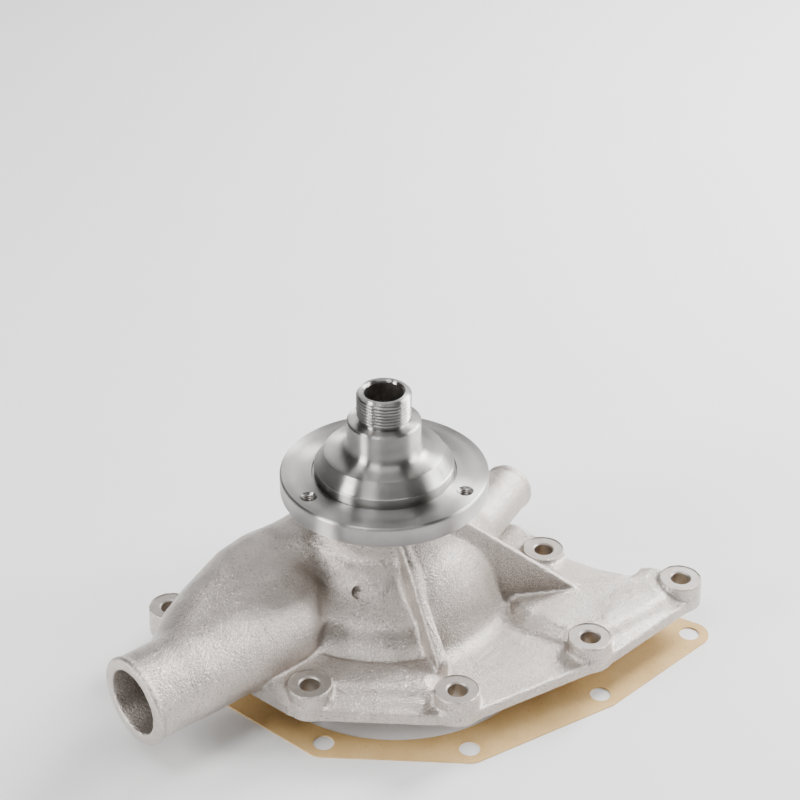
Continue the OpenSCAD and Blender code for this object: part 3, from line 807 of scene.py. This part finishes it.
def build_hub(material, drilled_and_shaded):
    """The turned hub: its outline with the thread, then the tapped holes, and painted shade on the bores."""
    hub = lathe("pulley_hub", hub_profile(), 192, material, closed=True, ripple=thread_ripple)
    pattern = mounts["pulley_bolts"]["dims"]
    cuts, taps = [], []
    for i in range(pattern["count"]):
        turn = first_tap + 2 * math.pi * i / pattern["count"]
        x, y = pattern["pcd_mm"] / 2 * math.cos(turn), pattern["pcd_mm"] / 2 * math.sin(turn)
        taps.append((x, y, 3.3))
        cuts.append(cutter("tap", tap_profile(), at(x, y), material, 40))
    carve(hub, cuts)
    # The bores' walls take the darker drilled steel: painted shade inside the holes.
    paint_shade_in_bores(hub, [(0.0, 0.0, 8.62)] + taps, drilled_and_shaded)
    soften(hub, 18)
    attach(hub, "rotor")
    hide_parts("hub")
    return hub


def finish_node(node, material):
    """Gives a CAD node its material on every slot."""
    obj = frame["nodes"][node]
    if not obj.material_slots:
        obj.data.materials.append(material)
    for slot in obj.material_slots:
        slot.material = material


cast, machined = cast_aluminium(), machined_aluminium()
# Drilled aluminium: its own grain and gloss, and darker than the machined faces as painted shade inside the
# bores.
drilled_and_shaded = plain("drilled_aluminium_painted_shade", (0.44, 0.40, 0.36), (0.34, 0.30, 0.26), 0.9, 0.42, 900, 0.05)
build_casting(cast, machined, drilled_and_shaded)
# The drilled steel is darker than the turned steel: painted shade inside the hub's bores.
build_hub(turned("turned_steel", (0.38, 0.37, 0.362), 0.33, 0.45, 0.012, (0.31, 0.295, 0.285)),
          plain("drilled_steel_painted_shade", (0.30, 0.28, 0.265), (0.22, 0.20, 0.185), 1.0, 0.36, 900, 0.03))

paper = gasket_paper()
rubber = plain("seal_rubber", (0.025, 0.025, 0.027), (0.05, 0.05, 0.05), 0.0, 0.55, 900, 0.05)
brass = plain("seal_brass", (0.62, 0.44, 0.20), (0.42, 0.28, 0.13), 1.0, 0.32, 500, 0.03)
polymer = plain("cage_polymer", (0.42, 0.25, 0.12), (0.36, 0.20, 0.09), 0.0, 0.45, 600, 0.04)
carbon = plain("seal_carbon", (0.05, 0.05, 0.055), (0.09, 0.09, 0.09), 0.1, 0.38, 1500, 0.02)
ceramic = plain("seat_ceramic", (0.80, 0.78, 0.72), (0.74, 0.71, 0.64), 0.0, 0.28, 1200, 0.015)
iron = plain("impeller_iron", (0.25, 0.235, 0.225), (0.33, 0.25, 0.19), 0.75, 0.55, 420, 0.35)
spring = plain("spring_steel", (0.60, 0.60, 0.60), (0.48, 0.46, 0.44), 1.0, 0.25, 900, 0.02)
shaft_steel = turned("shaft_steel", (0.50, 0.49, 0.48), 0.2, 0.3, 0.008, (0.40, 0.38, 0.36))
bearing_steel = turned("bearing_steel", (0.58, 0.57, 0.56), 0.18, 0.3, 0.006, (0.48, 0.47, 0.45))
ball_steel = plain("ball_steel", (0.70, 0.70, 0.70), (0.62, 0.61, 0.60), 1.0, 0.12, 1500, 0.004)
finishes = {
    paper: ["gasket"], shaft_steel: ["shaft"], bearing_steel: ["bearing_outer_ring"],
    ball_steel: ["front_balls", "rear_balls"], polymer: ["front_ball_cage", "rear_ball_cage"],
    rubber: ["front_bearing_seal", "rear_bearing_seal", "slinger", "seal_bellows", "seat_cup"],
    brass: ["seal_case", "bellows_clamp_ring", "carbon_carrier"], spring: ["seal_spring"],
    carbon: ["carbon_ring"], ceramic: ["ceramic_seat"], iron: ["impeller"]}
for material, nodes in finishes.items():
    for node in nodes:
        finish_node(node, material)

# ---- camera, floor and light -------------------------------------------------------------------------------


def area_light(name, size, power, place, target):
    """A rectangular lamp that faces a point."""
    light = bpy.data.lights.new(name, "AREA")
    light.shape = "RECTANGLE"
    light.size, light.size_y = size
    light.energy = power
    obj = bpy.data.objects.new(name, light)
    obj.location = place
    obj.rotation_euler = (Vector(target) - Vector(place)).to_track_quat("-Z", "Y").to_euler()
    bpy.context.scene.collection.objects.link(obj)


camera = bpy.data.objects.new("camera", bpy.data.cameras.new("camera"))
bpy.context.scene.collection.objects.link(camera)
camera.data.lens = 83.25
camera.data.sensor_width = 36.0
camera.location = (0.0463, -0.6766, 0.5171)
camera.rotation_euler = (math.radians(90 - 31.3), 0, math.radians(3.33))
bpy.context.scene.camera = camera

reach = 3000.0
corners = [(i * reach, j * reach, floor_z) for i, j in ((-1, -1), (1, -1), (1, 1), (-1, 1))]
white = plain("floor", (0.93, 0.93, 0.93), (0.91, 0.91, 0.91), 0.0, 0.8, 40, 0.02)
floor = mesh_object("floor", corners, [(0, 1, 2, 3)], white)

world = bpy.data.worlds.new("world")
bpy.context.scene.world = world
world.use_nodes = True
world.node_tree.nodes["Background"].inputs[0].default_value = (1, 1, 1, 1)
world.node_tree.nodes["Background"].inputs[1].default_value = 0.10

# Name, size, power, place and the point it looks at
area_light("back", (1.8, 0.8), 11, (0.15, 1.35, 0.72), (0, 0, 0.05))
area_light("right", (0.45, 0.9), 18, (1.15, 0.18, 0.62), (0, 0, 0.05))
area_light("key", (0.5, 0.5), 33, (0.80, 0.80, 0.85), (0, 0, 0.03))
area_light("left", (0.35, 0.7), 17, (-1.00, -0.64, 0.46), (0, 0, 0.05))
area_light("front", (0.4, 0.4), 6, (-0.36, -0.56, 1.25), (0, 0, 0.03))
area_light("overhead", (0.8, 0.5), 5, (0.10, -0.20, 1.40), (0, 0, 0.02))
